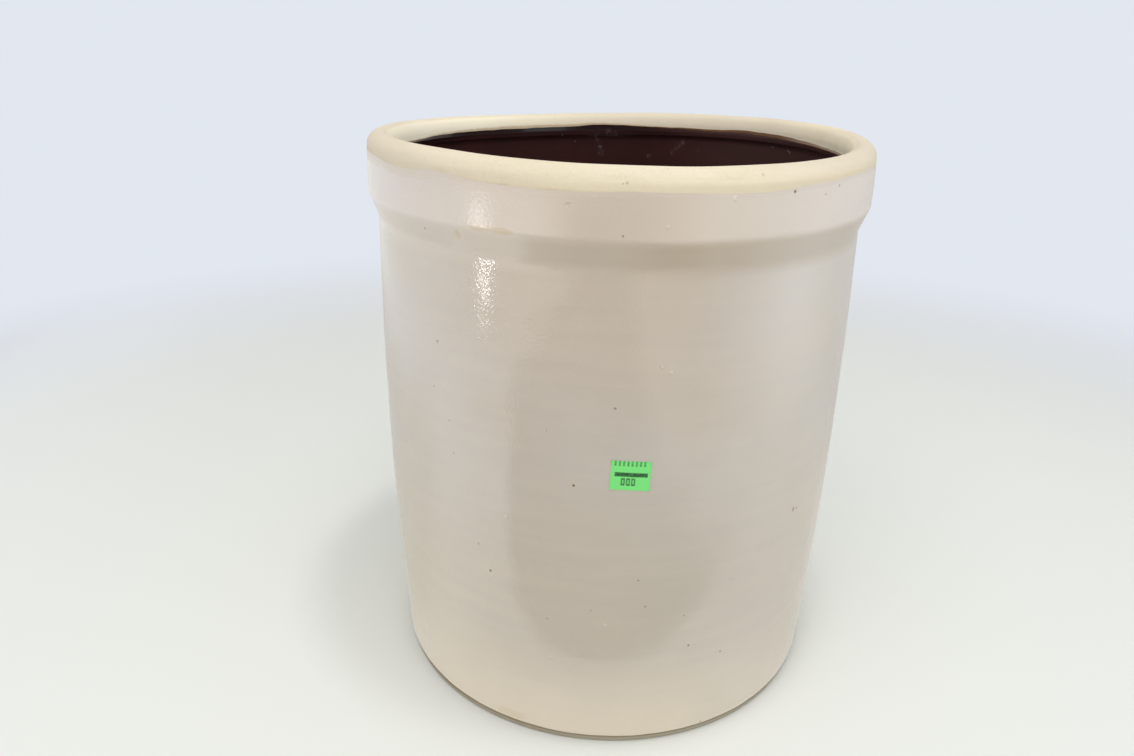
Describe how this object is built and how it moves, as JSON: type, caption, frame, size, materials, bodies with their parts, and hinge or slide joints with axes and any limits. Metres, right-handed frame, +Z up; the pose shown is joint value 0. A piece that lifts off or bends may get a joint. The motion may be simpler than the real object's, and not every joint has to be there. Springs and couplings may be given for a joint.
{
  "type": "stoneware crock",
  "caption": "Open glazed stoneware storage crock with a rolled bare rim, a wide band under it, a dark glazed inside and a small paper label.",
  "frame": {"origin": "centre of the flat base", "axes": "+Z up along the pot's axis, -Y towards the front, where the label is"},
  "size_m": [0.2812, 0.2812, 0.32],
  "materials": {
    "bare_clay": "bare fired buff clay, matt and slightly grainy",
    "cream_glaze": "greyish cream gloss glaze with a faint orange-peel surface and a few pits",
    "brown_slip": "very dark red-brown glossy slip",
    "green_paper": "bright green matt paper"
  },
  "bodies": {
    "root": {"stoneware_body": "bare_clay", "outer_glaze": "cream_glaze", "inner_glaze": "brown_slip", "paper_label": "green_paper"}
  },
  "joints": []
}
